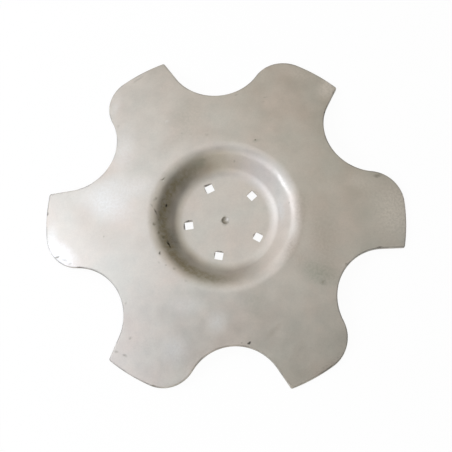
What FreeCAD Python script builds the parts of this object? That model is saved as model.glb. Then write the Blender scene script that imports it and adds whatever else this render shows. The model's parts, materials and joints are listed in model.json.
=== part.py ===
import FreeCAD, Part
import math
import os

from FreeCAD import Vector

# A harrow disc blade, pressed in one piece from a steel blank. It lies on its six tips with the
# convex side up. The origin is on the disc's axis, in the plane that the tips stand on.
# Lengths are in millimetres, and angles in degrees, anticlockwise as seen from above.

# Sheet and dish, where the dish radius is that of the upper, convex face
disc_diameter = 560.0
thickness = 6.0
dish_radius = 1063.0

# Cup: a round recess with a flat hub plate at its bottom. Its bends are given on their upper face,
# and hub_drop is how far the plate lies under the crown that the dish would have without a cup.
hub_drop = 35.7
plate_radius = 66.0
inner_bend_radius = 26.4
wall_slope = 43.0
outer_bend_radius = 27.4

# Rim: each lobe has a long outer edge, a round shoulder, a notch and a straight flank to the tip.
# The flank leans away from the radius that runs through the middle of its notch.
lobe_count = 6
first_notch_angle = 33.5
notch_depth = 80.2
notch_radius = 76.3
shoulder_radius = 52.5
flank_lean = 31.9
tip_corner_radius = 3.3
upper_edge_break = 0.8
lower_edge_break = 0.5

# Square holes for the hub bolts, each with a side across the line to the centre
hole_count = 5
hole_circle_diameter = 114.3
hole_side = 13.0
hole_corner_radius = 1.0
first_hole_angle = 44.1

# Centring dimple in the upper face of the plate
dimple_diameter = 12.0
dimple_depth = 2.4

# How far a cutting tool runs past the sheet, and what counts as no distance at all
overrun = 12.0
TINY = 0.01

UP = Vector(0, 0, 1)
ALONG_X = Vector(1, 0, 0)
AXIS_FOOT = Vector(0, 0, 0)
disc_radius = disc_diameter / 2
lower_dish_radius = dish_radius - thickness
notch_centre_radius = disc_radius - notch_depth + notch_radius


def polar(radius, angle):
    """Point in the XY plane at a radius and an angle."""
    turn = math.radians(angle)
    return Vector(radius * math.cos(turn), radius * math.sin(turn), 0)


def heading(vector):
    """The vector at unit length."""
    return Vector(vector).normalize()


def meet(start, direction, centre, radius):
    """Where the ray from a point leaves a circle about a centre."""
    way = heading(direction)
    gap = start - centre
    along = gap.dot(way)
    return start + way * (math.sqrt(along ** 2 - gap.dot(gap) + radius ** 2) - along)


def arc(centre, start, end):
    """The shorter arc about a centre, from start to end."""
    middle = heading(heading(start - centre) + heading(end - centre))
    return Part.Arc(start, centre + middle * (start - centre).Length, end).toShape()


def line(start, end):
    """A straight edge."""
    return Part.LineSegment(start, end).toShape()


def closed_face(edges):
    """A flat face inside a loop of edges."""
    return Part.Face(Part.Wire(Part.__sortEdges__(edges)))


# Heights. The tips stand on the plane z = 0 with their broken lower edge, and that small bevel
# takes away a little of the sheet's height, because the face slopes down to the rim.
rim_slope = math.asin(disc_radius / lower_dish_radius)
bevel_lift = lower_edge_break * math.sin(rim_slope)
dish_centre = UP * (-bevel_lift - lower_dish_radius * math.cos(rim_slope))
plate_top = dish_centre.z + dish_radius - hub_drop

# Bends of the cup, in the XZ plane. The outer one rolls into the dish at the crest.
slope = math.radians(wall_slope)
wall_way = Vector(math.cos(slope), 0, math.sin(slope))
wall_side = Vector(math.sin(slope), 0, -math.cos(slope))
inner_bend_centre = Vector(plate_radius, 0, plate_top + inner_bend_radius)
outer_bend_centre = meet(
    inner_bend_centre + wall_side * (inner_bend_radius + outer_bend_radius),
    wall_way,
    dish_centre,
    dish_radius - outer_bend_radius,
)
crest_way = heading(outer_bend_centre - dish_centre)


def section_line(depth):
    """Edges of the section at a depth under the upper face, from the axis to past the rim."""
    plate_end = inner_bend_centre - UP * (inner_bend_radius + depth)
    wall_foot = inner_bend_centre + wall_side * (inner_bend_radius + depth)
    wall_head = outer_bend_centre - wall_side * (outer_bend_radius - depth)
    crest = dish_centre + crest_way * (dish_radius - depth)
    reach = disc_radius + overrun
    end = dish_centre + Vector(reach, 0, math.sqrt((dish_radius - depth) ** 2 - reach ** 2))
    return [
        line(Vector(0, 0, plate_end.z), plate_end),
        arc(inner_bend_centre, plate_end, wall_foot),
        line(wall_foot, wall_head),
        arc(outer_bend_centre, wall_head, crest),
        arc(dish_centre, crest, end),
    ]


def pressed_sheet():
    """The pressed sheet while it is still round and larger than the blade."""
    upper = section_line(0.0)
    lower = section_line(thickness)
    axis_edge = line(lower[0].Vertexes[0].Point, upper[0].Vertexes[0].Point)
    outer_edge = line(upper[-1].Vertexes[-1].Point, lower[-1].Vertexes[-1].Point)
    section = closed_face(upper + lower + [axis_edge, outer_edge])
    return section.revolve(AXIS_FOOT, UP, 360)


def flank_side(turn):
    """Unit vector from the flank at a notch into its lobe, square to the flank."""
    return polar(1, turn + flank_lean + 90)


def tip_corner(turn):
    """Centre of the round at the tip after a notch."""
    beside = polar(notch_centre_radius, turn) + flank_side(turn) * (notch_radius + tip_corner_radius)
    return meet(beside, polar(1, turn + flank_lean), AXIS_FOOT, disc_radius - tip_corner_radius)


def lobe_edges(turn):
    """Outline from the last tip's round, over the lobe and the notch at turn, to the next tip."""
    notch = polar(notch_centre_radius, turn)
    reach = disc_radius - shoulder_radius
    bridge = shoulder_radius + notch_radius
    opening = math.acos(
        (reach ** 2 + notch_centre_radius ** 2 - bridge ** 2) / (2 * reach * notch_centre_radius)
    )
    shoulder = polar(reach, turn - math.degrees(opening))
    last_tip = heading(tip_corner(turn - 360 / lobe_count)) * disc_radius
    shoulder_start = heading(shoulder) * disc_radius
    shoulder_end = shoulder + heading(notch - shoulder) * shoulder_radius
    notch_bottom = notch - heading(notch) * notch_radius
    flank_start = notch + flank_side(turn) * notch_radius
    corner = tip_corner(turn)
    flank_end = corner - flank_side(turn) * tip_corner_radius
    return [
        arc(AXIS_FOOT, last_tip, shoulder_start),
        arc(shoulder, shoulder_start, shoulder_end),
        Part.Arc(shoulder_end, notch_bottom, flank_start).toShape(),
        line(flank_start, flank_end),
        arc(corner, flank_end, heading(corner) * disc_radius),
    ]


def rim_prism():
    """Everything inside the rim's outline, from below the sheet to above it."""
    edges = []
    for k in range(lobe_count):
        edges += lobe_edges(first_notch_angle + k * 360 / lobe_count)
    outline = closed_face(edges)
    outline.translate(UP * -overrun)
    return outline.extrude(UP * (plate_top + hub_drop + 2 * overrun))


def middle_normal(face):
    """Normal of a face in the middle of its parameters."""
    first_u, last_u, first_v, last_v = face.ParameterRange
    return face.normalAt((first_u + last_u) / 2, (first_v + last_v) / 2)


def rim_edges(blade, radius):
    """Edges where the cut rim meets the dish's upper or lower face, told by the face's radius."""
    found = []
    for face in blade.Faces:
        if abs(middle_normal(face).z) > TINY:
            continue
        for edge in face.Edges:
            middle = edge.valueAt((edge.FirstParameter + edge.LastParameter) / 2)
            if math.isclose((middle - dish_centre).Length, radius, abs_tol=TINY):
                found.append(edge)
    return found


def is_upright(edge):
    """Whether a straight edge runs along Z."""
    return math.isclose(abs(edge.tangentAt(edge.FirstParameter).z), 1, abs_tol=TINY)


def hole_punch(angle):
    """A square punch through the plate, with small rounds along its corners."""
    foot = Vector(-hole_side / 2, -hole_side / 2, plate_top - thickness - overrun)
    punch = Part.makeBox(hole_side, hole_side, thickness + 2 * overrun, foot)
    punch = punch.makeFillet(hole_corner_radius, [e for e in punch.Edges if is_upright(e)])
    punch.rotate(AXIS_FOOT, UP, angle)
    punch.translate(polar(hole_circle_diameter / 2, angle))
    return punch


def dimple_ball():
    """The ball that leaves the centring dimple. Its poles point along X, clear of the dimple."""
    half = dimple_diameter / 2
    radius = (half ** 2 + dimple_depth ** 2) / (2 * dimple_depth)
    return Part.makeSphere(radius, UP * (plate_top - dimple_depth + radius), ALONG_X)


def disc_blade():
    """The whole blade: pressed, trimmed, its rim's edges broken, then punched and dimpled."""
    blade = pressed_sheet().common(rim_prism())
    blade = blade.makeChamfer(upper_edge_break, rim_edges(blade, dish_radius))
    blade = blade.makeChamfer(lower_edge_break, rim_edges(blade, lower_dish_radius))
    tools = [hole_punch(first_hole_angle + k * 360 / hole_count) for k in range(hole_count)]
    return blade.cut(tools + [dimple_ball()]).Solids[0]


os.makedirs("parts", exist_ok=True)
disc_blade().exportStep("parts/disc_blade.step")
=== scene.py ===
"""Looks of a harrow disc blade: one pressed steel sheet that lies on its six tips."""

import json
import logging
import math
from dataclasses import dataclass
from enum import Enum
from typing import Iterable, Union

import bmesh
import bpy
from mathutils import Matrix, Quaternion, Vector


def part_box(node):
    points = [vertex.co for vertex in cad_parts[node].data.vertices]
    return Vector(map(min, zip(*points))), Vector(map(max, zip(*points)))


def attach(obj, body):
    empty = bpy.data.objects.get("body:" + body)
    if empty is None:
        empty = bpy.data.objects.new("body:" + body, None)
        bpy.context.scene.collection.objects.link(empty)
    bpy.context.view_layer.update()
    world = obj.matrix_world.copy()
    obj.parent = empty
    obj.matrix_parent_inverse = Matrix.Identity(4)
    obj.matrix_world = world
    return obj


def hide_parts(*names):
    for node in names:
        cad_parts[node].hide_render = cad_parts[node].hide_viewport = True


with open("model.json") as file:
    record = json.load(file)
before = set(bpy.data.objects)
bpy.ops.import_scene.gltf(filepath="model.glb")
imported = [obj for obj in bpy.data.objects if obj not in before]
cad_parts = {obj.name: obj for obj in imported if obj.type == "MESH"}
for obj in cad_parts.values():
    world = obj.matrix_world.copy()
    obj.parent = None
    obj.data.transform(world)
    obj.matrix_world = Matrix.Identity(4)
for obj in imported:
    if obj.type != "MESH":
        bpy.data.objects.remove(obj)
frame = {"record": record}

LOG = logging.getLogger("disc_blade")
NODE = "disc_blade"
UP = Vector((0.0, 0.0, 1.0))
MM = 0.001
SECTION_MARKS = ("share", "depth", "inset", "edge")
EDGE_LINE = "edge_line"
Socket = bpy.types.NodeSocket
Value = Union[None, float, int, str, tuple, Socket, bpy.types.Material]


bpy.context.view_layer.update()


def arc_points(centre: Vector, start: Vector, end: Vector, steps: int) -> list[Vector]:
    """Points on the shorter arc about a centre, both ends included.

    Args:
        centre: Middle of the circle.
        start: First point of the arc.
        end: Last point of the arc.
        steps: How many equal parts the arc is cut into.

    Returns:
        One point more than there are steps.
    """
    spoke = start - centre
    turn = spoke.rotation_difference(end - centre)
    return [centre + Quaternion(turn.axis, turn.angle * k / steps) @ spoke for k in range(steps + 1)]


def line_points(start: Vector, end: Vector, steps: int) -> list[Vector]:
    """Points on a straight line, both ends included."""
    return [start.lerp(end, k / steps) for k in range(steps + 1)]


def ray_to_circle(start: Vector, way: Vector, radius: float) -> Vector:
    """Where a ray leaves a circle about the origin."""
    along = start.dot(way)
    return start + way * (math.sqrt(along ** 2 - start.length_squared + radius ** 2) - along)


def polar(radius: float, angle: float) -> Vector:
    """Point in the XY plane at a radius and an angle in radians."""
    return Vector((radius * math.cos(angle), radius * math.sin(angle), 0.0))


@dataclass(frozen=True)
class BladeSizes:
    """Sizes of the blade in metres and radians. The frame gives those that it states."""

    record: dict
    dish_radius: float = 1063.0 * MM
    hub_drop: float = 35.7 * MM
    plate_radius: float = 66.0 * MM
    inner_bend: float = 26.4 * MM
    wall_slope: float = math.radians(43.0)
    outer_bend: float = 27.4 * MM
    lobe_count: int = 6
    first_notch: float = math.radians(33.5)
    notch_depth: float = 80.2 * MM
    notch_radius: float = 76.3 * MM
    shoulder_radius: float = 52.5 * MM
    flank_lean: float = math.radians(31.9)
    tip_corner: float = 3.3 * MM
    upper_round: float = 0.8 * MM
    lower_round: float = 0.5 * MM
    hole_side: float = 13.0 * MM
    hole_corner: float = 1.0 * MM
    first_hole: float = math.radians(44.1)
    dimple_radius: float = 6.0 * MM
    dimple_depth: float = 2.4 * MM

    def mount(self, name: str) -> dict:
        """The record's mount of that name."""
        return next(mount for mount in self.record["mounts"] if mount["name"] == name)

    @property
    def disc_radius(self) -> float:
        """Radius of the circle that the lobes reach."""
        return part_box(NODE)[1].x

    @property
    def plate_top(self) -> float:
        """Height of the hub plate's upper face."""
        return self.mount("hub_seat")["pos_m"][2]

    @property
    def thickness(self) -> float:
        """Thickness of the sheet."""
        return self.plate_top - self.mount("hub_back")["pos_m"][2]

    @property
    def hole_circle(self) -> float:
        """Radius of the circle of bolt holes."""
        return self.mount("hub_bolts")["dims"]["pcd_mm"] / 2 * MM

    @property
    def hole_count(self) -> int:
        """Number of bolt holes."""
        return self.mount("hub_bolts")["dims"]["count"]

    @property
    def crown(self) -> float:
        """Height that the dish would reach on its axis without the cup."""
        return self.plate_top + self.hub_drop

    @property
    def dish_centre(self) -> float:
        """Height of the centre that both faces of the dish share."""
        return self.crown - self.dish_radius


@dataclass(frozen=True)
class SheetPoint:
    """A point of the section, told so that the dish can follow the lobes.

    Attributes:
        radius: Distance from the axis, and for a point on the dish that of the crest.
        height: Height, which counts only on the plate and in the cup.
        share: Share of the way from the crest to the rim, above 0 on the dish.
        depth: Depth under the upper face.
        inset: Distance inside the rim's outline.
        edge: Strength of the dark line along the rim.
    """

    radius: float
    height: float
    share: float = 0.0
    depth: float = 0.0
    inset: float = 0.0
    edge: float = 0.0


@dataclass(frozen=True)
class SheetSection:
    """Section of the pressed sheet: out over its upper face and back under the lower one."""

    sizes: BladeSizes
    flat_margin: float = 0.6 * MM
    bend_steps: int = 12
    wall_steps: int = 3
    dish_steps: int = 24
    round_steps: int = 3
    edge_line: float = 2.6 * MM

    def cup(self, depth: float) -> list[Vector]:
        """Points from the edge of the hub plate to the crest.

        Args:
            depth: How far under the upper face they lie.

        Returns:
            The points in the XZ plane, from the plate outwards.
        """
        sizes = self.sizes
        middle = UP * sizes.dish_centre
        wall_way = Vector((math.cos(sizes.wall_slope), 0.0, math.sin(sizes.wall_slope)))
        wall_side = Vector((wall_way.z, 0.0, -wall_way.x))
        inner = Vector((sizes.plate_radius, 0.0, sizes.plate_top + sizes.inner_bend))
        start = inner + wall_side * (sizes.inner_bend + sizes.outer_bend) - middle
        outer = middle + ray_to_circle(start, wall_way, sizes.dish_radius - sizes.outer_bend)
        plate_end = inner - UP * (sizes.inner_bend + depth)
        foot = inner + wall_side * (sizes.inner_bend + depth)
        head = outer - wall_side * (sizes.outer_bend - depth)
        crest = middle + (outer - middle).normalized() * (sizes.dish_radius - depth)
        return [
            plate_end - Vector((self.flat_margin, 0.0, 0.0)),
            *arc_points(inner, plate_end, foot, self.bend_steps),
            *line_points(foot, head, self.wall_steps)[1:-1],
            *arc_points(outer, head, crest, self.bend_steps),
        ]

    def face(self, depth: float, inset: float) -> list[SheetPoint]:
        """Points of one face of the sheet, from the hub plate out to where the rim's round starts.

        Args:
            depth: How far under the upper face they lie.
            inset: How far inside the outline the round starts.

        Returns:
            The points from the plate outwards.
        """
        cup = self.cup(depth)
        crest = cup[-1]
        dish = [
            SheetPoint(crest.x, crest.z, k / self.dish_steps, depth, inset)
            for k in range(1, self.dish_steps)
        ]
        rim = [
            SheetPoint(crest.x, crest.z, 1.0, depth, self.edge_line),
            SheetPoint(crest.x, crest.z, 1.0, depth, inset, 1.0),
        ]
        return [SheetPoint(point.x, point.z, 0.0, depth, 0.0) for point in cup] + dish + rim

    def rim_round(self, radius: float, upper: bool) -> list[SheetPoint]:
        """Points of the round at the rim's upper or lower edge.

        Args:
            radius: Radius of the round.
            upper: Whether it is the upper edge.

        Returns:
            The points from the outline inwards.
        """
        sizes = self.sizes
        rounds = []
        for k in range(self.round_steps):
            swing = math.pi / 2 * k / self.round_steps
            fall = radius * (1 - math.sin(swing))
            depth = fall if upper else sizes.thickness - fall
            inset = radius * (1 - math.cos(swing))
            rounds.append(SheetPoint(sizes.plate_radius, 0.0, 1.0, depth, inset, 1.0))
        return rounds

    def points(self) -> list[SheetPoint]:
        """The whole section.

        Returns:
            The points from the plate's upper face round the rim to its lower face.
        """
        sizes = self.sizes
        upper = self.face(0.0, sizes.upper_round)
        lower = self.face(sizes.thickness, sizes.lower_round)
        over = self.rim_round(sizes.upper_round, upper=True)
        under = self.rim_round(sizes.lower_round, upper=False)
        return upper + over[::-1] + under + lower[::-1]


@dataclass(frozen=True)
class LobedRim:
    """Outline of the rim, as one lobe and the notch after it."""

    sizes: BladeSizes
    spacing: float = 4.8 * MM
    fewest_steps: int = 5

    def steps(self, length: float) -> int:
        """How many parts a stretch of the outline is cut into."""
        return max(self.fewest_steps, round(length / self.spacing))

    def arc(self, centre: Vector, start: Vector, end: Vector) -> list[Vector]:
        """Points on an arc of the outline.

        Args:
            centre: Middle of the circle.
            start: First point of the arc.
            end: Point that the arc stops before.

        Returns:
            The points without the last one, which the next stretch starts with.
        """
        spoke = start - centre
        length = spoke.length * spoke.angle(end - centre)
        return arc_points(centre, start, end, self.steps(length))[:-1]

    def points(self) -> list[Vector]:
        """Outline of one lobe and its notch.

        Returns:
            The points from one tip's round to just before the end of the next tip's round.
        """
        sizes = self.sizes
        rim = sizes.disc_radius
        origin = Vector((0.0, 0.0, 0.0))
        notch_reach = rim - sizes.notch_depth + sizes.notch_radius
        notch = polar(notch_reach, sizes.first_notch)
        reach = rim - sizes.shoulder_radius
        bridge = sizes.shoulder_radius + sizes.notch_radius
        opening = math.acos(
            (reach ** 2 + notch_reach ** 2 - bridge ** 2) / (2 * reach * notch_reach)
        )
        shoulder = polar(reach, sizes.first_notch - opening)
        way = polar(1.0, sizes.first_notch + sizes.flank_lean)
        side = polar(1.0, sizes.first_notch + sizes.flank_lean + math.pi / 2)
        beside = notch + side * (sizes.notch_radius + sizes.tip_corner)
        corner = ray_to_circle(beside, way, rim - sizes.tip_corner)
        next_tip = corner.normalized() * rim
        last_tip = Quaternion(UP, -math.tau / sizes.lobe_count) @ next_tip
        shoulder_start = shoulder.normalized() * rim
        shoulder_end = shoulder + (notch - shoulder).normalized() * sizes.shoulder_radius
        flank_start = notch + side * sizes.notch_radius
        flank_end = corner - side * sizes.tip_corner
        flank = line_points(flank_start, flank_end, self.steps((flank_end - flank_start).length))
        return [
            *self.arc(origin, last_tip, shoulder_start),
            *self.arc(shoulder, shoulder_start, shoulder_end),
            *self.arc(notch, shoulder_end, flank_start),
            *flank[:-1],
            *self.arc(corner, flank_end, next_tip),
        ]


@dataclass(frozen=True)
class Grain:
    """How a noise texture is set.

    Attributes:
        scale: How fine it is, as features to a metre.
        detail: How many finer layers lie on the coarsest one.
        roughness: How strong each finer layer is.
    """

    scale: float
    detail: float
    roughness: float


class Tree:
    """A node tree in the making."""

    def __init__(self, kind: str, name: str) -> None:
        """Starts an empty tree with its input and output nodes.

        Args:
            kind: "GeometryNodeTree" or "ShaderNodeTree".
            name: Name of the tree.
        """
        self.tree = bpy.data.node_groups.new(name, kind)
        self.entry = self.tree.nodes.new("NodeGroupInput")
        self.exit = self.tree.nodes.new("NodeGroupOutput")

    def socket(self, name: str, kind: str = "Float", default: Value = None) -> Socket:
        """Adds a named input to the tree.

        Args:
            name: Name of the input.
            kind: Blender's name for its type, without "NodeSocket".
            default: Its value where none is given.

        Returns:
            The socket that brings it in.
        """
        item = self.tree.interface.new_socket(name, in_out="INPUT", socket_type=f"NodeSocket{kind}")
        if default is not None:
            item.default_value = default
        return self.entry.outputs[name]

    def give(self, name: str, kind: str, source: Socket) -> None:
        """Adds a named output to the tree and joins a socket to it."""
        self.tree.interface.new_socket(name, in_out="OUTPUT", socket_type=f"NodeSocket{kind}")
        self.tree.links.new(source, self.exit.inputs[name])

    def add(self, kind: str, *values: Value, **settings: Value) -> Socket:
        """Puts a node into the tree.

        Args:
            kind: Blender's name for the node.
            *values: Its shown inputs in order: a number, a socket to join, or None to leave one.
            **settings: Properties of the node.

        Returns:
            The node's first shown output.
        """
        node = self.tree.nodes.new(kind)
        for name, setting in settings.items():
            setattr(node, name, setting)
        shown = [socket for socket in node.inputs if socket.enabled]
        for socket, value in zip(shown, values):
            if isinstance(value, Socket):
                self.tree.links.new(value, socket)
            elif value is not None:
                socket.default_value = value
        return next(socket for socket in node.outputs if socket.enabled)

    def math(self, operation: str, *values: Value) -> Socket:
        """A math node."""
        return self.add("ShaderNodeMath", *values, operation=operation)

    def whole(self, operation: str, *values: Value) -> Socket:
        """An integer math node."""
        return self.add("FunctionNodeIntegerMath", *values, operation=operation)

    def vector(self, operation: str, *values: Value) -> Socket:
        """A vector math node."""
        return self.add("ShaderNodeVectorMath", *values, operation=operation)

    def point(self, x: Value = 0.0, y: Value = 0.0, z: Value = 0.0) -> Socket:
        """A vector of three values."""
        return self.add("ShaderNodeCombineXYZ", x, y, z)

    def spoke(self, radius: Value, angle: Value, height: Value = 0.0) -> Socket:
        """The point at a radius, an angle and a height.

        Args:
            radius: Distance from the Z axis.
            angle: Angle from +X.
            height: Height.

        Returns:
            The point.
        """
        across = self.math("MULTIPLY", radius, self.math("COSINE", angle))
        along = self.math("MULTIPLY", radius, self.math("SINE", angle))
        return self.point(across, along, height)

    def ramp(self, value: Value, first: float, last: float, low: float = 0.0, high: float = 1.0) -> Socket:
        """A smooth climb from low to high as a value goes from first to last."""
        ends = (first, last, low, high)
        return self.add("ShaderNodeMapRange", value, *ends, interpolation_type="SMOOTHSTEP")

    def mix(self, share: Value, under: Value, over: Value) -> Socket:
        """A colour laid over another by a share."""
        return self.add("ShaderNodeMix", share, under, over, data_type="RGBA")

    def noise(self, where: Value, grain: Grain) -> Socket:
        """A noise texture's value."""
        return self.add("ShaderNodeTexNoise", where, grain.scale, grain.detail, grain.roughness)

    def total(self, *parts: Socket) -> Socket:
        """Joins pieces of geometry into one.

        Args:
            *parts: The pieces.

        Returns:
            All of them together.
        """
        joined = self.tree.nodes.new("GeometryNodeJoinGeometry")
        for part in reversed(parts):
            self.tree.links.new(part, joined.inputs[0])
        return joined.outputs[0]


class SheetTree(Tree):
    """The rule that makes the blade from one lobe's outline and the sheet's section."""

    dimple_rays = 48
    dimple_rings = 8
    hole_round_steps = 4
    merge_distance = 0.01 * MM
    wall_normal_z = 0.35

    def __init__(self, pressed: bpy.types.Material, sheared: bpy.types.Material) -> None:
        """Builds the tree.

        Args:
            pressed: Finish of the sheet's faces.
            sheared: Finish of the rim and of the walls of the holes.
        """
        super().__init__("GeometryNodeTree", "pressed_sheet")
        self.index = self.tree.nodes.new("GeometryNodeInputIndex").outputs[0]
        self.place = self.tree.nodes.new("GeometryNodeInputPosition").outputs[0]
        lobe = self.socket("Lobe Outline", "Geometry")
        section_object = self.socket("Section", "Object")
        self.lobe_count = self.socket("Lobe Count", "Int")
        self.ring_start = self.socket("Ring Start")
        self.ring_radius = self.socket("First Ring Radius")
        self.dish_radius = self.socket("Dish Radius")
        self.dish_centre = self.socket("Dish Centre")
        self.plate_top = self.socket("Plate Top")
        self.thickness = self.socket("Thickness")
        self.hole_count = self.socket("Hole Count", "Int")
        self.hole_circle = self.socket("Hole Circle")
        self.hole_side = self.socket("Hole Side")
        self.hole_corner = self.socket("Hole Corner")
        self.first_hole = self.socket("First Hole")
        self.dimple_radius = self.socket("Dimple Radius")
        self.dimple_depth = self.socket("Dimple Depth")
        info = self.add("GeometryNodeObjectInfo", section_object).node
        self.section = info.outputs["Geometry"]
        self.outline = self.whole_outline(lobe)
        self.rays = self.add("GeometryNodeAttributeDomainSize", self.outline)
        holes = self.holes()
        blade = self.total(self.sheet(), *self.plates(holes), self.hole_walls(holes), self.dimple())
        blade = self.add("GeometryNodeMergeByDistance", blade, None, self.merge_distance)
        blade = self.add("GeometryNodeRealizeInstances", blade)
        blade = self.add("GeometryNodeSetMaterial", blade, None, pressed)
        blade = self.add("GeometryNodeSetMaterial", blade, self.is_wall(), sheared)
        self.give("Blade", "Geometry", blade)

    def sample(self, geometry: Socket, value: Socket, index: Value, kind: str = "FLOAT_VECTOR") -> Socket:
        """A value of another geometry's point, by the point's number."""
        return self.add("GeometryNodeSampleIndex", geometry, value, index, data_type=kind)

    def fraction_of_turn(self, part: Value, count: Value, start: Value) -> Socket:
        """Angle of a part out of a count that go evenly round, after a start angle."""
        step = self.math("DIVIDE", math.tau, count)
        return self.math("ADD", start, self.math("MULTIPLY", part, step))

    def whole_outline(self, lobe: Socket) -> Socket:
        """Repeats the lobe's outline round the axis.

        Args:
            lobe: Outline of one lobe and its notch.

        Returns:
            The points of the whole rim.
        """
        turn = self.point(z=self.fraction_of_turn(self.index, self.lobe_count, 0.0))
        spots = self.add("GeometryNodePoints", self.lobe_count)
        lobes = self.add("GeometryNodeInstanceOnPoints", spots, None, lobe, None, None, turn)
        return self.add("GeometryNodeRealizeInstances", lobes)

    def sheet(self) -> Socket:
        """Makes both faces of the sheet outside the hub plate, with the rim between them.

        Returns:
            The sheet, with the strength of the rim's dark line stored on it.
        """
        rings = self.add("GeometryNodeAttributeDomainSize", self.section)
        columns = self.whole("ADD", self.rays, 1)
        grid = self.add("GeometryNodeMeshGrid", 1.0, 1.0, columns, rings)
        ray = self.whole("MODULO", self.whole("DIVIDE_FLOOR", self.index, rings), self.rays)
        ring = self.whole("MODULO", self.index, rings)
        marks = {
            name: self.sample(
                self.section,
                self.add("GeometryNodeInputNamedAttribute", name, data_type="FLOAT"),
                ring,
                "FLOAT",
            )
            for name in SECTION_MARKS
        }
        profile = self.add("ShaderNodeSeparateXYZ", self.sample(self.section, self.place, ring)).node
        rim = self.sample(self.outline, self.place, ray)
        after = self.whole("MODULO", self.whole("ADD", ray, 1), self.rays)
        last = self.whole("SUBTRACT", self.rays, 1)
        before = self.whole("MODULO", self.whole("ADD", ray, last), self.rays)
        along = self.vector(
            "SUBTRACT",
            self.sample(self.outline, self.place, after),
            self.sample(self.outline, self.place, before),
        )
        outward = self.vector("NORMALIZE", self.vector("CROSS_PRODUCT", along, tuple(UP)))
        inset = self.vector("SCALE", outward, marks["inset"])
        angle = self.fraction_of_turn(ray, self.rays, self.ring_start)
        on_ring = self.spoke(profile.outputs["X"], angle)
        on_rim = self.vector("SUBTRACT", rim, inset)
        flat = self.add("ShaderNodeMix", marks["share"], on_ring, on_rim, data_type="VECTOR")
        dome = self.math("SUBTRACT", self.dish_radius, marks["depth"])
        reach = self.vector("DOT_PRODUCT", flat, flat).node.outputs["Value"]
        rise = self.math("SQRT", self.math("SUBTRACT", self.math("MULTIPLY", dome, dome), reach))
        on_dish = self.add(
            "FunctionNodeCompare", marks["share"], 0.0, data_type="FLOAT", operation="GREATER_THAN"
        )
        height = self.add(
            "GeometryNodeSwitch",
            on_dish,
            profile.outputs["Z"],
            self.math("ADD", self.dish_centre, rise),
            input_type="FLOAT",
        )
        place = self.vector("ADD", flat, self.point(z=height))
        sheet = self.add("GeometryNodeSetPosition", grid, None, place)
        return self.add(
            "GeometryNodeStoreNamedAttribute", sheet, None, EDGE_LINE, marks["edge"], data_type="FLOAT"
        )

    def holes(self) -> Socket:
        """Draws the square holes, each with a side across the line to the centre.

        Returns:
            Their outlines.
        """
        square = self.add("GeometryNodeCurvePrimitiveQuadrilateral", self.hole_side, self.hole_side)
        square = self.add(
            "GeometryNodeFilletCurve", square, self.hole_round_steps, self.hole_corner, mode="POLY"
        )
        angle = self.fraction_of_turn(self.index, self.hole_count, self.first_hole)
        spots = self.add("GeometryNodePoints", self.hole_count, self.spoke(self.hole_circle, angle))
        turned = self.add(
            "GeometryNodeInstanceOnPoints", spots, None, square, None, None, self.point(z=angle)
        )
        return self.add("GeometryNodeRealizeInstances", turned)

    def plates(self, holes: Socket) -> list[Socket]:
        """Makes both faces of the hub plate, with the holes left open.

        Args:
            holes: Outlines of the holes.

        Returns:
            The upper and the lower face.
        """
        edge = self.add("GeometryNodeCurvePrimitiveCircle", self.rays, self.ring_radius)
        edge = self.add("GeometryNodeTransform", edge, None, self.point(z=self.ring_start))
        mouth = self.add(
            "GeometryNodeCurvePrimitiveCircle", self.dimple_rays, self.dimple_radius
        )
        bottom = self.math("SUBTRACT", self.plate_top, self.thickness)
        faces = []
        for loops, height in (((edge, holes, mouth), self.plate_top), ((edge, holes), bottom)):
            filled = self.add("GeometryNodeFillCurve", self.total(*loops), mode="TRIANGLES")
            faces.append(self.add("GeometryNodeTransform", filled, self.point(z=height)))
        return faces

    def hole_walls(self, holes: Socket) -> Socket:
        """Makes the walls of the square holes.

        Args:
            holes: Outlines of the holes.

        Returns:
            The walls.
        """
        loops = self.add("GeometryNodeCurveToMesh", holes)
        loops = self.add("GeometryNodeTransform", loops, self.point(z=self.plate_top))
        down = self.point(z=self.math("MULTIPLY", self.thickness, -1.0))
        return self.add("GeometryNodeExtrudeMesh", loops, None, down, mode="EDGES")

    def dimple(self) -> Socket:
        """Makes the round hollow in the middle of the plate's upper face.

        Returns:
            The hollow, a cap of a ball.
        """
        rings = self.dimple_rings
        grid = self.add("GeometryNodeMeshGrid", 1.0, 1.0, self.dimple_rays + 1, rings)
        ray = self.whole("DIVIDE_FLOOR", self.index, rings)
        part = self.math("DIVIDE", self.whole("MODULO", self.index, rings), rings - 1.0)
        reach = self.math("MULTIPLY", self.dimple_radius, part)
        mouth = self.math("MULTIPLY", self.dimple_radius, self.dimple_radius)
        deep = self.math("MULTIPLY", self.dimple_depth, self.dimple_depth)
        ball = self.math("DIVIDE", self.math("ADD", mouth, deep), self.dimple_depth)
        ball = self.math("MULTIPLY", ball, 0.5)
        squares = self.math(
            "SUBTRACT", self.math("MULTIPLY", ball, ball), self.math("MULTIPLY", reach, reach)
        )
        middle = self.math("ADD", self.math("SUBTRACT", self.plate_top, self.dimple_depth), ball)
        height = self.math("SUBTRACT", middle, self.math("SQRT", squares))
        angle = self.fraction_of_turn(ray, self.dimple_rays, 0.0)
        return self.add("GeometryNodeSetPosition", grid, None, self.spoke(reach, angle, height))

    def is_wall(self) -> Socket:
        """Tells the rim and the walls of the holes from the sheet's faces.

        Returns:
            Whether a face stands upright.
        """
        normal = self.tree.nodes.new("GeometryNodeInputNormal").outputs[0]
        steep = self.add("ShaderNodeSeparateXYZ", normal).node.outputs["Z"]
        return self.add(
            "FunctionNodeCompare",
            self.math("ABSOLUTE", steep),
            self.wall_normal_z,
            data_type="FLOAT",
            operation="LESS_THAN",
        )


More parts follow.
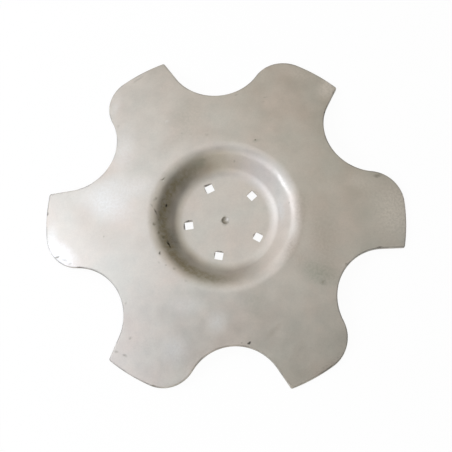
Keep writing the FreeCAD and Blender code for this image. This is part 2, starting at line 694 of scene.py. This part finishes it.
@dataclass
class Blade:
    """The pressed blade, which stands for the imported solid."""

    sizes: BladeSizes
    edge_break: float = 0.15 * MM
    edge_steps: int = 2
    sharp_angle: float = math.radians(38.0)

    def guide(self, name: str, points: Iterable[Vector]) -> bpy.types.Object:
        """Makes a line of points that the blade is made along.

        Args:
            name: Name of the line.
            points: Its points in order.

        Returns:
            An object with the line as its mesh.
        """
        points = [tuple(point) for point in points]
        mesh = bpy.data.meshes.new(name)
        mesh.from_pydata(points, [(k, k + 1) for k in range(len(points) - 1)], [])
        guide = bpy.data.objects.new(name, mesh)
        bpy.context.scene.collection.objects.link(guide)
        return guide

    def section_guide(self) -> bpy.types.Object:
        """Makes the section as a line that carries what each of its points needs.

        Returns:
            An object with the line as its mesh.
        """
        points = SheetSection(self.sizes).points()
        guide = self.guide("section", (Vector((p.radius, 0.0, p.height)) for p in points))
        for name in SECTION_MARKS:
            layer = guide.data.attributes.new(name, "FLOAT", "POINT")
            layer.data.foreach_set("value", [getattr(point, name) for point in points])
        return guide

    def ring_start(self, lobe: list[Vector]) -> float:
        """Finds where the rays in the cup start, so that they turn as little as they can.

        Args:
            lobe: Outline of one lobe and its notch.

        Returns:
            Angle of the first ray.
        """
        step = math.tau / (len(lobe) * self.sizes.lobe_count)
        first = math.atan2(lobe[0].y, lobe[0].x)
        drift = 0.0
        for k, point in enumerate(lobe):
            angle = math.atan2(point.y, point.x) - first
            drift += (angle + math.pi) % math.tau - math.pi - k * step
        return first + drift / len(lobe)

    def build(self, pressed: bpy.types.Material, sheared: bpy.types.Material) -> bpy.types.Object:
        """Makes the blade's mesh, closed and with its edges broken, and hangs it on the frame.

        Args:
            pressed: Finish of the sheet's faces.
            sheared: Finish of the rim and of the walls of the holes.

        Returns:
            The finished piece.
        """
        sizes = self.sizes
        lobe = LobedRim(sizes).points()
        base = self.guide("lobe_outline", lobe)
        section = self.section_guide()
        rule = SheetTree(pressed, sheared)
        modifier = base.modifiers.new("pressed_sheet", "NODES")
        modifier.node_group = rule.tree
        values = {
            "Section": section,
            "Lobe Count": sizes.lobe_count,
            "Ring Start": self.ring_start(lobe),
            "First Ring Radius": section.data.vertices[0].co.x,
            "Dish Radius": sizes.dish_radius,
            "Dish Centre": sizes.dish_centre,
            "Plate Top": sizes.plate_top,
            "Thickness": sizes.thickness,
            "Hole Count": sizes.hole_count,
            "Hole Circle": sizes.hole_circle,
            "Hole Side": sizes.hole_side,
            "Hole Corner": sizes.hole_corner,
            "First Hole": sizes.first_hole,
            "Dimple Radius": sizes.dimple_radius,
            "Dimple Depth": sizes.dimple_depth,
        }
        for item in rule.tree.interface.items_tree:
            if item.name in values:
                modifier[item.identifier] = values[item.name]
        piece = self.plain_copy(base, "pressed_blade")
        self.close_up(piece.data)
        bevel = piece.modifiers.new("broken_edges", "BEVEL")
        bevel.width = self.edge_break
        bevel.segments = self.edge_steps
        bevel.limit_method = "ANGLE"
        bevel.angle_limit = self.sharp_angle
        bevel.harden_normals = True
        finished = self.plain_copy(piece, "blade_sheet")
        for helper in (base, section, piece):
            bpy.data.objects.remove(helper)
        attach(finished, "root")
        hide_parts(NODE)
        return finished

    def plain_copy(self, source: bpy.types.Object, name: str) -> bpy.types.Object:
        """Makes an object whose plain mesh is what another's modifiers make.

        Args:
            source: The object with the modifiers.
            name: Name of the new object and its mesh.

        Returns:
            The new object.
        """
        graph = bpy.context.evaluated_depsgraph_get()
        made = source.evaluated_get(graph)
        mesh = bpy.data.meshes.new_from_object(made, preserve_all_data_layers=True, depsgraph=graph)
        mesh.name = name
        copy = bpy.data.objects.new(name, mesh)
        bpy.context.scene.collection.objects.link(copy)
        return copy

    def close_up(self, mesh: bpy.types.Mesh) -> None:
        """Turns all faces outwards and shades them smooth.

        Args:
            mesh: The closed mesh to work on.
        """
        work = bmesh.new()
        work.from_mesh(mesh)
        bmesh.ops.recalc_face_normals(work, faces=work.faces)
        open_edges = sum(not edge.is_manifold for edge in work.edges)
        for face in work.faces:
            face.smooth = True
        LOG.info("blade mesh: %d faces, %d open edges", len(work.faces), open_edges)
        work.to_mesh(mesh)
        work.free()


class MarkKind(Enum):
    """What a mark on the steel is, with its colour; some kinds also serve as painted light or shade."""

    # Gouges, and painted shade along the edges of the bolt holes
    GOUGE_AND_SHADE = (0.030, 0.026, 0.020)
    # Stains, and painted shade on the cup's left wall and in the dimple
    STAIN_AND_SHADE = (0.190, 0.175, 0.135)
    GREEN_HAZE = (0.330, 0.345, 0.290)
    # Warm hazes, and painted shade on the cup's left wall and outside the crest on its right
    WARM_HAZE_AND_SHADE = (0.420, 0.370, 0.320)
    # Pale hazes, and a painted highlight over the left lobe
    PALE_HAZE_AND_HIGHLIGHT = (0.700, 0.700, 0.690)
    # Painted highlight and painted light, not a finish of the steel
    PAINTED_SHEEN = (0.740, 0.700, 0.650)
    # Painted glare, a lamp's reflection, on the lobes on the left
    PAINTED_GLARE = (0.930, 0.960, 1.000)


@dataclass(frozen=True)
class Mark:
    """A mark, or a patch of painted light or shade, on the upper face, as a soft-edged ellipse.

    Attributes:
        kind: What it is.
        x: Place of its middle along X, in millimetres.
        y: Place of its middle along Y, in millimetres.
        length: Its length, in millimetres.
        width: Its width, in millimetres.
        angle: Where its length points, in degrees anticlockwise from +X.
        strength: How much of its colour shows in the middle.
        softness: Share of its half width over which it fades out.
    """

    kind: MarkKind
    x: float
    y: float
    length: float
    width: float
    angle: float = 0.0
    strength: float = 1.0
    softness: float = 0.8


GOUGE_AND_SHADE, STAIN_AND_SHADE, GREEN_HAZE, WARM_HAZE_AND_SHADE, PALE_HAZE_AND_HIGHLIGHT, PAINTED_SHEEN, PAINTED_GLARE = MarkKind

# Later marks lie over earlier ones.
MARKS = (
    # Cup's wall and edge on the left
    Mark(GOUGE_AND_SHADE, -86, -43, 19, 4.5, 107, 0.95, 0.8),
    Mark(GOUGE_AND_SHADE, -91, 20, 6, 6.5, 13, 0.9, 0.9),
    Mark(GOUGE_AND_SHADE, -99, -59, 7.5, 5, 110, 0.85, 0.9),
    Mark(GOUGE_AND_SHADE, -107, 7, 15, 5.5, 112, 0.7, 0.9),
    Mark(STAIN_AND_SHADE, -108, -12, 11, 7, 96, 0.75, 1.0),
    Mark(STAIN_AND_SHADE, -107, 27, 12.5, 6, 44, 0.55, 1.0),
    Mark(STAIN_AND_SHADE, -89, -77, 5, 4, 0, 0.5, 0.9),
    Mark(STAIN_AND_SHADE, -96, 59, 11.5, 4.5, 33, 0.85, 0.9),
    Mark(PALE_HAZE_AND_HIGHLIGHT, -95, 56, 4.5, 2, 33, 0.7, 0.9),
    # Painted shade, dark and warm, over the cup's left wall on the side turned from the light
    Mark(WARM_HAZE_AND_SHADE, -80, -17, 26, 12.5, 101, 0.5, 1.0),
    Mark(STAIN_AND_SHADE, -80, -34, 56, 25, 118, 0.5, 1.0),
    # By the bottom notch, on the left lobe, and above and below the cup
    Mark(GOUGE_AND_SHADE, 38, -195, 8.5, 3.5, 22, 0.95, 0.7),
    Mark(STAIN_AND_SHADE, 26, -195, 3.5, 3, 0, 0.5, 0.9),
    Mark(STAIN_AND_SHADE, -187, -30, 6, 4.5, -3, 0.4, 0.9),
    Mark(STAIN_AND_SHADE, 48, 121, 5, 4.5, 0, 0.8, 0.8),
    Mark(GREEN_HAZE, 48, 120, 22, 7.5, 17, 0.35, 1.0),
    Mark(STAIN_AND_SHADE, 62, 196, 14.5, 3.5, 1, 0.3, 1.0),
    Mark(STAIN_AND_SHADE, 59, 189, 11, 3, 1, 0.2, 1.0),
    Mark(GREEN_HAZE, -42, 87, 37, 17, 25, 0.4, 1.0),
    Mark(STAIN_AND_SHADE, -35, 92, 18.5, 6.5, 13, 0.25, 1.0),
    Mark(STAIN_AND_SHADE, -58, -102, 7, 6, 0, 0.3, 1.0),
    # Right half of the blade
    Mark(STAIN_AND_SHADE, 237, 69, 20, 7.5, 12, 0.7, 1.0),
    Mark(STAIN_AND_SHADE, 150, -103, 17.5, 14, 2, 0.45, 1.0),
    Mark(GREEN_HAZE, 145, -88, 90, 55, 166, 0.6, 1.0),
    Mark(GREEN_HAZE, 121, 24, 70, 40, 97, 0.3, 1.0),
    Mark(WARM_HAZE_AND_SHADE, 151, -32, 186, 77, 94, 0.55, 1.0),
    Mark(GREEN_HAZE, 196, 43, 53, 42, 3, 0.15, 1.0),
    Mark(GREEN_HAZE, 219, 9, 56, 48, 3, 0.2, 1.0),
    Mark(WARM_HAZE_AND_SHADE, 74, -177, 54, 13.5, 45, 0.4, 1.0),
    Mark(GOUGE_AND_SHADE, 237, -46, 14.5, 3, 6, 0.8, 0.8),
    Mark(GOUGE_AND_SHADE, 171, 208, 8.5, 3.5, 64, 0.8, 0.8),
    Mark(GOUGE_AND_SHADE, 156, 172, 8, 3.5, 73, 0.8, 0.8),
    Mark(STAIN_AND_SHADE, 184, -74, 7, 4, 50, 0.6, 0.9),
    # Left lobe with a painted glare on its lower corner and a painted highlight over it
    Mark(PAINTED_GLARE, -254, -54, 100, 46, 138, 0.42, 1.0),
    Mark(PAINTED_GLARE, -270, -24, 30, 64, -4, 0.15, 1.0),
    Mark(PALE_HAZE_AND_HIGHLIGHT, -185, 25, 131, 82, 157, 0.62, 1.0),
    Mark(PALE_HAZE_AND_HIGHLIGHT, -176, 54, 78, 44, 23, 0.35, 1.0),
    Mark(WARM_HAZE_AND_SHADE, -186, -29, 112, 69, 167, 0.26, 1.0),
    Mark(WARM_HAZE_AND_SHADE, -239, 19, 33, 26, -4, 0.15, 1.0),
    # Specks on the lower left and upper left lobes, by the top notch and on the cup's edge
    Mark(STAIN_AND_SHADE, -164, -206, 9, 7.5, -1, 0.5, 0.9),
    Mark(STAIN_AND_SHADE, -151, -212, 8, 7.5, -1, 0.5, 0.9),
    Mark(STAIN_AND_SHADE, -143, -186, 10.5, 6, -1, 0.4, 1.0),
    Mark(STAIN_AND_SHADE, -150, -134, 8.5, 3.5, 80, 0.4, 1.0),
    Mark(STAIN_AND_SHADE, -107, -257, 10.5, 4.5, 160, 0.8, 0.9),
    Mark(STAIN_AND_SHADE, -68, 135, 7, 6.5, -2, 0.25, 1.0),
    Mark(STAIN_AND_SHADE, -29, 131, 9, 6.5, -1, 0.2, 1.0),
    Mark(PALE_HAZE_AND_HIGHLIGHT, -92, 156, 12.5, 9, 20, 0.3, 1.0),
    Mark(STAIN_AND_SHADE, 99, 21, 5, 5, 57, 0.5, 0.9),
    Mark(STAIN_AND_SHADE, 14, 91, 5.5, 3.5, -2, 0.4, 0.9),
    Mark(STAIN_AND_SHADE, 17, 201, 11, 4, 28, 0.35, 1.0),
    Mark(STAIN_AND_SHADE, -141, 234, 32, 5, 37, 0.3, 1.0),
    Mark(STAIN_AND_SHADE, -170, 151, 9.5, 7, 63, 0.3, 1.0),
    # Wide lighter and darker patches; the sheens on the right lobes are painted light
    Mark(PAINTED_SHEEN, 161, 217, 73, 48, 63, 0.95, 1.0),
    Mark(PAINTED_SHEEN, 115, 240, 80, 41, 165, 0.45, 1.0),
    Mark(PAINTED_SHEEN, 271, 15, 176, 150, 88, 1.0, 1.0),
    Mark(PAINTED_SHEEN, 212, 57, 86, 50, 167, 0.45, 1.0),
    Mark(PALE_HAZE_AND_HIGHLIGHT, -11, -164, 45, 50, 0, 0.45, 1.0),
    Mark(PALE_HAZE_AND_HIGHLIGHT, -58, -140, 76, 45, -1, 0.25, 1.0),
    Mark(PALE_HAZE_AND_HIGHLIGHT, -159, 110, 55, 112, -3, 0.4, 1.0),
    Mark(GREEN_HAZE, -59, 161, 85, 116, -2, 0.3, 1.0),
    Mark(GREEN_HAZE, 48, -137, 51, 105, 0, 0.25, 1.0),
    Mark(WARM_HAZE_AND_SHADE, -126, -41, 43, 44, -2, 0.2, 1.0),
    Mark(WARM_HAZE_AND_SHADE, -83, 120, 94, 41, 36, 0.32, 1.0),
    Mark(PALE_HAZE_AND_HIGHLIGHT, -75, -205, 67, 65, -1, 0.35, 1.0),
    # Dirt along the cup's left edge, painted shade in the dimple, and dirt on the left lobe's edge
    Mark(STAIN_AND_SHADE, -100, 3, 6, 5, 100, 0.6, 1.0),
    Mark(STAIN_AND_SHADE, -102, -5, 6.5, 4.5, 65, 0.6, 1.0),
    Mark(STAIN_AND_SHADE, -95, -5, 5.5, 5.5, 121, 0.5, 1.0),
    Mark(STAIN_AND_SHADE, -101, -26, 8, 5, 101, 0.55, 1.0),
    Mark(STAIN_AND_SHADE, -94, -32, 9, 5.5, 110, 0.6, 1.0),
    Mark(STAIN_AND_SHADE, -98, 17, 7.5, 4.5, 73, 0.45, 1.0),
    Mark(STAIN_AND_SHADE, -95, 28, 6.5, 4, 63, 0.5, 1.0),
    Mark(STAIN_AND_SHADE, -112, 17, 9, 5, 120, 0.35, 1.0),
    Mark(STAIN_AND_SHADE, -100, -73, 7, 6, -1, 0.25, 1.0),
    Mark(STAIN_AND_SHADE, -76, -83, 9, 7, 130, 0.4, 1.0),
    # Painted shade in the dimple
    Mark(STAIN_AND_SHADE, -1, -1, 17, 20, 0, 0.45, 0.6),
    Mark(GOUGE_AND_SHADE, -222, -77, 20, 4.5, 171, 0.8, 0.9),
    Mark(STAIN_AND_SHADE, -260, -59, 10, 5.5, 16, 0.75, 0.9),
    Mark(STAIN_AND_SHADE, -248, -64, 15, 6, 158, 0.45, 1.0),
    Mark(STAIN_AND_SHADE, -239, -69, 9, 5, 17, 0.35, 1.0),
    Mark(GOUGE_AND_SHADE, -278, 12, 7.5, 4.5, 92, 0.7, 0.9),
    # Painted highlight along the crest on the right of the cup, painted shade outside it, and more wide
    # hazes
    Mark(PAINTED_SHEEN, 90, 52, 74, 9, 120, 0.8, 1.0),
    Mark(PAINTED_SHEEN, 103, 16, 46, 8, 99, 0.3, 1.0),
    Mark(WARM_HAZE_AND_SHADE, 115, 0, 100, 30, 92, 0.7, 1.0),
    Mark(WARM_HAZE_AND_SHADE, 102, -48, 80, 32, 68, 0.8, 1.0),
    Mark(PALE_HAZE_AND_HIGHLIGHT, 86, 13, 63, 18.5, 95, 0.35, 1.0),
    Mark(PALE_HAZE_AND_HIGHLIGHT, -142, 46, 96, 56, 13, 0.4, 1.0),
    Mark(WARM_HAZE_AND_SHADE, -219, 5, 55, 71, -3, 0.25, 1.0),
    Mark(WARM_HAZE_AND_SHADE, 116, -68, 66, 62, 0, 0.35, 1.0),
    Mark(WARM_HAZE_AND_SHADE, -33, 134, 95, 32, 0, 0.25, 1.0),
    Mark(PAINTED_GLARE, -175, 186, 62, 24, 75, 0.12, 1.0),
    # Painted shade along the edges of the bolt holes, where their walls lie in shade
    Mark(GOUGE_AND_SHADE, -63.2, -9, 14, 4, 98, 1.0, 0.6),
    Mark(GOUGE_AND_SHADE, -57.6, -1.4, 14, 3.5, 8, 0.95, 0.6),
    Mark(GOUGE_AND_SHADE, -28.1, 57.3, 14, 3.5, 26, 0.95, 0.6),
    Mark(GOUGE_AND_SHADE, -31.1, 48.4, 12, 3, 116, 0.6, 0.7),
    Mark(GOUGE_AND_SHADE, -8.6, -49.7, 13, 3.5, 170, 0.9, 0.6),
    Mark(GOUGE_AND_SHADE, -16.4, -55.1, 11, 3.5, 80, 0.8, 0.6),
    Mark(GOUGE_AND_SHADE, 44.6, -23.6, 11, 3, 62, 0.6, 0.7),
)


class SkinTree(Tree):
    """Colour and grain of bare steel under a thin, cloudy oxide, for every finish of the blade.

    A ramp holds the two ends of what comes in and, after them, the two ends of what goes out.
    """

    clouds = Grain(17.0, 3.0, 0.55)
    patches = Grain(36.0, 4.0, 0.6)
    patches_shift = (3.1, 1.7, 0.4)
    specks = Grain(420.0, 2.0, 0.6)
    warm_ramp = (0.48, 0.70)
    cool_ramp = (0.52, 0.32)
    patches_ramp = (0.25, 0.75, 0.93, 1.07)
    specks_ramp = (0.2, 0.8, 0.97, 1.03)
    roughness_ramp = (0.25, 0.75, -0.04, 0.04)
    speck_height = 0.04

    def __init__(self) -> None:
        """Builds the group."""
        super().__init__("ShaderNodeTree", "steel_skin")
        where = self.socket("Position", "Vector")
        base = self.socket("Base", "Color")
        warm = self.socket("Warm Tint", "Color")
        cool = self.socket("Cool Tint", "Color")
        rough = self.socket("Roughness", "Float", 0.5)
        wide = self.noise(where, self.clouds)
        near = self.noise(self.vector("ADD", where, self.patches_shift), self.patches)
        speck = self.noise(where, self.specks)
        colour = self.mix(self.ramp(wide, *self.warm_ramp), base, warm)
        colour = self.mix(self.ramp(wide, *self.cool_ramp), colour, cool)
        shade = self.ramp(near, *self.patches_ramp)
        fine = self.ramp(speck, *self.specks_ramp)
        colour = self.vector("SCALE", colour, self.math("MULTIPLY", shade, fine))
        self.give("Color", "Color", colour)
        spread = self.ramp(near, *self.roughness_ramp)
        self.give("Roughness", "Float", self.math("ADD", rough, spread))
        bumps = self.math("MULTIPLY", speck, self.speck_height)
        self.give("Height", "Float", self.math("ADD", bumps, near))


class MarksTree(Tree):
    """The dark line along the rim, and the painted shade on the cup's wall and the marks of the upper
    side, over a colour.

    A ramp holds the two ends of what comes in and, after them, the two ends of what goes out.
    """

    line_colour = (0.170, 0.165, 0.155, 1.0)
    line_ramp = (0.1, 0.9)
    wear = Grain(38.0, 2.0, 0.6)
    wear_ramp = (0.35, 0.65, 0.1, 0.5)
    raggedness = Grain(130.0, 2.0, 0.5)
    ragged_middle = (0.5, 0.5, 0.5)
    ragged_reach = (6.0 * MM, 6.0 * MM, 0.0)
    flat = (1.0, 1.0, 0.0)
    patches = Grain(260.0, 2.0, 0.6)
    patches_ramp = (0.35, 0.65, 0.65, 1.15)
    upward_ramp = (-0.2, 0.2)
    # Painted shade on the cup's wall, on the side turned from the light
    wall_shade_colour = (0.222, 0.178, 0.062, 1.0)
    wall_shade_centre = (-2.0 * MM, -3.0 * MM, 0.0)
    wall_shade_foot = (80.0 * MM, 93.0 * MM)
    wall_shade_head = (108.0 * MM, 95.0 * MM)
    wall_shade_middle = math.radians(193.0)
    wall_shade_reach = math.radians(110.0)
    wall_shade_full = wall_shade_reach / 3
    wall_shade_strength = 0.56
    mottle = Grain(150.0, 3.0, 0.65)
    mottle_ramp = (0.3, 0.7, 0.6, 1.2)

    def __init__(self) -> None:
        """Builds the group."""
        super().__init__("ShaderNodeTree", "marks")
        where = self.socket("Position", "Vector")
        facing = self.socket("Facing")
        edge = self.socket("Edge Line")
        colour = self.socket("Color", "Color")
        worn = self.ramp(self.noise(where, self.wear), *self.wear_ramp)
        line = self.math("MULTIPLY", self.ramp(edge, *self.line_ramp), worn)
        colour = self.mix(line, colour, self.line_colour)
        ragged = self.noise(where, self.raggedness).node.outputs["Color"]
        push = self.vector("SUBTRACT", ragged, self.ragged_middle)
        push = self.vector("MULTIPLY", push, self.ragged_reach)
        where = self.vector("MULTIPLY", self.vector("ADD", where, push), self.flat)
        # Lays the painted shade on the cup's wall under the marks
        marked = self.mix(self.painted_wall_shade(where), colour, self.wall_shade_colour)
        patchy = self.ramp(self.noise(where, self.patches), *self.patches_ramp)
        for mark in MARKS:
            place = self.add(
                "ShaderNodeMapping",
                where,
                (mark.x * MM, mark.y * MM, 0.0),
                (0.0, 0.0, math.radians(mark.angle)),
                (mark.length * MM / 2, mark.width * MM / 2, 1.0),
                vector_type="TEXTURE",
            )
            ball = self.add("ShaderNodeTexGradient", place, gradient_type="SPHERICAL").node
            share = self.ramp(ball.outputs["Fac"], 0.0, mark.softness, 0.0, mark.strength)
            share = self.math("MULTIPLY", share, patchy)
            marked = self.mix(share, marked, (*mark.kind.value, 1.0))
        upward = self.ramp(facing, *self.upward_ramp)
        self.give("Color", "Color", self.mix(upward, colour, marked))

    def painted_wall_shade(self, where: Socket) -> Socket:
        """Painted shade that darkens the side of the cup's wall turned from the light.

        Args:
            where: Place on the blade, with no height.

        Returns:
            Share of the painted shade's colour.
        """
        where = self.vector("SUBTRACT", where, self.wall_shade_centre)
        reach = self.vector("LENGTH", where).node.outputs["Value"]
        foot = self.ramp(reach, *self.wall_shade_foot)
        head = self.ramp(reach, *self.wall_shade_head)
        side = self.vector("DOT_PRODUCT", where, tuple(polar(1.0, self.wall_shade_middle)))
        facing = self.math("DIVIDE", side.node.outputs["Value"], reach)
        turn = self.ramp(facing, math.cos(self.wall_shade_reach), math.cos(self.wall_shade_full))
        mottled = self.ramp(self.noise(where, self.mottle), *self.mottle_ramp)
        share = self.math("MULTIPLY", self.math("MULTIPLY", foot, head), turn)
        return self.math("MULTIPLY", share, self.math("MULTIPLY", mottled, self.wall_shade_strength))


@dataclass(frozen=True)
class SteelFinish:
    """A finish of bare steel.

    Attributes:
        name: Name of the material.
        base: Colour of the steel between the clouds.
        warm: Colour of its warm clouds.
        cool: Colour of its greenish clouds.
        metallic: Share of metal in the look.
        roughness: Roughness of the surface.
        relief: Height of its unevenness, in metres.
    """

    name: str
    base: tuple
    warm: tuple
    cool: tuple
    metallic: float
    roughness: float
    relief: float

    def material(self, skin: SkinTree, marks: MarksTree) -> bpy.types.Material:
        """Builds the material.

        Args:
            skin: The group with the steel's colour and grain.
            marks: The group with the marks.

        Returns:
            The material.
        """
        material = bpy.data.materials.new(self.name)
        material.use_nodes = True
        nodes, links = material.node_tree.nodes, material.node_tree.links
        shader = nodes["Principled BSDF"]
        shader.inputs["Metallic"].default_value = self.metallic
        coordinates = nodes.new("ShaderNodeTexCoord")
        place = coordinates.outputs["Object"]
        facing = nodes.new("ShaderNodeSeparateXYZ")
        edge = nodes.new("ShaderNodeAttribute")
        edge.attribute_name = EDGE_LINE
        surface = nodes.new("ShaderNodeGroup")
        surface.node_tree = skin.tree
        surface.inputs["Base"].default_value = (*self.base, 1.0)
        surface.inputs["Warm Tint"].default_value = (*self.warm, 1.0)
        surface.inputs["Cool Tint"].default_value = (*self.cool, 1.0)
        surface.inputs["Roughness"].default_value = self.roughness
        marked = nodes.new("ShaderNodeGroup")
        marked.node_tree = marks.tree
        bump = nodes.new("ShaderNodeBump")
        bump.inputs["Distance"].default_value = self.relief
        links.new(place, surface.inputs["Position"])
        links.new(place, marked.inputs["Position"])
        links.new(coordinates.outputs["Normal"], facing.inputs[0])
        links.new(facing.outputs["Z"], marked.inputs["Facing"])
        links.new(edge.outputs["Fac"], marked.inputs["Edge Line"])
        links.new(surface.outputs["Color"], marked.inputs["Color"])
        links.new(marked.outputs["Color"], shader.inputs["Base Color"])
        links.new(surface.outputs["Roughness"], shader.inputs["Roughness"])
        links.new(surface.outputs["Height"], bump.inputs["Height"])
        links.new(bump.outputs["Normal"], shader.inputs["Normal"])
        return material


PRESSED = SteelFinish(
    "pressed_steel",
    base=(0.557, 0.523, 0.475),
    warm=(0.573, 0.521, 0.470),
    cool=(0.541, 0.522, 0.476),
    metallic=1.0,
    roughness=0.55,
    relief=0.25 * MM,
)
SHEARED = SteelFinish(
    "sheared_steel",
    base=(0.490, 0.455, 0.405),
    warm=(0.510, 0.455, 0.390),
    cool=(0.455, 0.440, 0.390),
    metallic=1.0,
    roughness=0.6,
    relief=0.3 * MM,
)


@dataclass(frozen=True)
class Camera:
    """The camera, which looks down at the blade as the photograph does.

    Attributes:
        lean: How far the blade's axis leans in the picture, to the right and up.
        offset: Where the camera stands over the crown, in its own axes.
        lens: Focal length in millimetres on a 36 mm sensor.
    """

    lean: tuple = (-0.0352, 0.2480)
    offset: tuple = (0.00216, -0.01777, 1.9340)
    lens: float = 100.89
    sensor: float = 36.0

    def build(self, crown: float) -> bpy.types.Object:
        """Makes the camera and gives it to the scene.

        Args:
            crown: Height of the dish's crown on the blade's axis.

        Returns:
            The camera.
        """
        across, up = self.lean
        axis = Vector((across, up, math.sqrt(1 - across ** 2 - up ** 2)))
        turn = UP.rotation_difference(axis).inverted()
        data = bpy.data.cameras.new("camera")
        data.lens = self.lens
        data.sensor_width = self.sensor
        camera = bpy.data.objects.new("camera", data)
        camera.rotation_mode = "QUATERNION"
        camera.rotation_quaternion = turn
        camera.location = UP * crown + turn @ Vector(self.offset)
        bpy.context.scene.collection.objects.link(camera)
        bpy.context.scene.camera = camera
        return camera


@dataclass(frozen=True)
class SoftBox:
    """A square area lamp that points at the blade.

    Attributes:
        name: Name of the lamp.
        azimuth: Where it stands, in degrees anticlockwise from +X.
        elevation: How high it stands, in degrees above the floor.
        power: Power in watts.
        colour: Colour of its light.
        distance: How far it is from the blade, in metres.
        side: Side of the lamp, in metres.
    """

    name: str
    azimuth: float
    elevation: float
    power: float
    colour: tuple
    distance: float = 2.2
    side: float = 1.2

    def build(self) -> bpy.types.Object:
        """Puts the lamp into the scene.

        Returns:
            The lamp.
        """
        data = bpy.data.lights.new(self.name, "AREA")
        data.size = self.side
        data.energy = self.power
        data.color = self.colour
        lamp = bpy.data.objects.new(self.name, data)
        height = math.radians(self.elevation)
        way = polar(math.cos(height), math.radians(self.azimuth)) + UP * math.sin(height)
        lamp.location = way * self.distance
        lamp.rotation_mode = "QUATERNION"
        lamp.rotation_quaternion = way.to_track_quat("Z", "Y")
        bpy.context.scene.collection.objects.link(lamp)
        return lamp


@dataclass(frozen=True)
class Studio:
    """White floor that curves up into a low round backdrop, a dim sky and soft lamps."""

    floor_radius: float = 24.0
    bend_radius: float = 6.0
    bend_steps: int = 16
    turn_steps: int = 96
    floor_drop: float = 0.2 * MM
    floor_colour: tuple = (0.95, 0.95, 0.95, 1.0)
    floor_glow: float = 0.95
    sky_strength: float = 0.03
    lamps: tuple = (
        SoftBox("low_key", 135.0, 20.0, 10.8, (0.957, 0.972, 1.0)),
        SoftBox("key", 180.0, 38.0, 22.3, (0.853, 0.911, 1.0)),
        SoftBox("key_before", 225.0, 38.0, 12.2, (0.83, 0.844, 1.0)),
        SoftBox("front", 270.0, 38.0, 8.2, (1.0, 0.93, 0.72)),
        SoftBox("behind", 90.0, 38.0, 4.6, (1.0, 0.92, 0.78)),
        SoftBox("high_left", 135.0, 68.0, 10.8, (0.953, 0.959, 1.0)),
        SoftBox("high_right", 0.0, 68.0, 6.5, (0.97, 1.0, 0.97)),
        SoftBox("fill", 45.0, 52.0, 3.4, (1.0, 0.87, 0.67)),
    )

    def sky(self) -> None:
        """Makes the world a dim even light."""
        world = bpy.data.worlds.new("studio")
        bpy.context.scene.world = world
        world.use_nodes = True
        light = world.node_tree.nodes["Background"]
        light.inputs["Color"].default_value = (1.0, 1.0, 1.0, 1.0)
        light.inputs["Strength"].default_value = self.sky_strength

    def white(self) -> bpy.types.Material:
        """Makes a matt white that glows to the camera and in metal, yet keeps the blade's shadow.

        Returns:
            The material.
        """
        material = bpy.data.materials.new("floor_white")
        material.use_nodes = True
        nodes, links = material.node_tree.nodes, material.node_tree.links
        matt = nodes["Principled BSDF"]
        matt.inputs["Base Color"].default_value = self.floor_colour
        matt.inputs["Roughness"].default_value = 1.0
        glow = nodes.new("ShaderNodeEmission")
        path = nodes.new("ShaderNodeLightPath")
        seen = path.outputs["Is Camera Ray"]
        for ray in ("Is Glossy Ray", "Is Transmission Ray"):
            either = nodes.new("ShaderNodeMath")
            either.operation = "MAXIMUM"
            links.new(seen, either.inputs[0])
            links.new(path.outputs[ray], either.inputs[1])
            seen = either.outputs[0]
        share = nodes.new("ShaderNodeMath")
        share.operation = "MULTIPLY"
        share.inputs[1].default_value = self.floor_glow
        mix = nodes.new("ShaderNodeMixShader")
        links.new(seen, share.inputs[0])
        links.new(share.outputs[0], mix.inputs[0])
        links.new(matt.outputs[0], mix.inputs[1])
        links.new(glow.outputs[0], mix.inputs[2])
        links.new(mix.outputs[0], nodes["Material Output"].inputs[0])
        return material

    def floor(self) -> bpy.types.Object:
        """Makes the floor and its backdrop in one round sweep.

        Returns:
            The floor.
        """
        level = UP * -self.floor_drop
        foot = level + Vector((self.floor_radius, 0.0, 0.0))
        middle = foot + UP * self.bend_radius
        head = middle + Vector((self.bend_radius, 0.0, 0.0))
        work = bmesh.new()
        line = [work.verts.new(p) for p in (level, *arc_points(middle, foot, head, self.bend_steps))]
        edges = [work.edges.new(pair) for pair in zip(line, line[1:])]
        bmesh.ops.spin(work, geom=line + edges, axis=UP, angle=math.tau, steps=self.turn_steps)
        bmesh.ops.remove_doubles(work, verts=work.verts, dist=MM)
        bmesh.ops.recalc_face_normals(work, faces=work.faces)
        for face in work.faces:
            face.smooth = True
        mesh = bpy.data.meshes.new("floor")
        work.to_mesh(mesh)
        work.free()
        floor = bpy.data.objects.new("floor", mesh)
        bpy.context.scene.collection.objects.link(floor)
        mesh.materials.append(self.white())
        return floor

    def build(self) -> None:
        """Sets up the whole studio."""
        bpy.context.scene.view_settings.view_transform = "Standard"
        self.sky()
        self.floor()
        for lamp in self.lamps:
            lamp.build()


def main() -> None:
    """Sets the camera and the studio, then builds and dresses the blade."""
    logging.basicConfig(level=logging.INFO, format="%(name)s: %(message)s")
    sizes = BladeSizes(frame["record"])
    Camera().build(sizes.crown)
    Studio().build()
    skin, marks = SkinTree(), MarksTree()
    blade = Blade(sizes).build(PRESSED.material(skin, marks), SHEARED.material(skin, marks))
    LOG.info("%s: %d faces", blade.name, len(blade.data.polygons))


if __name__ == "__main__":
    main()
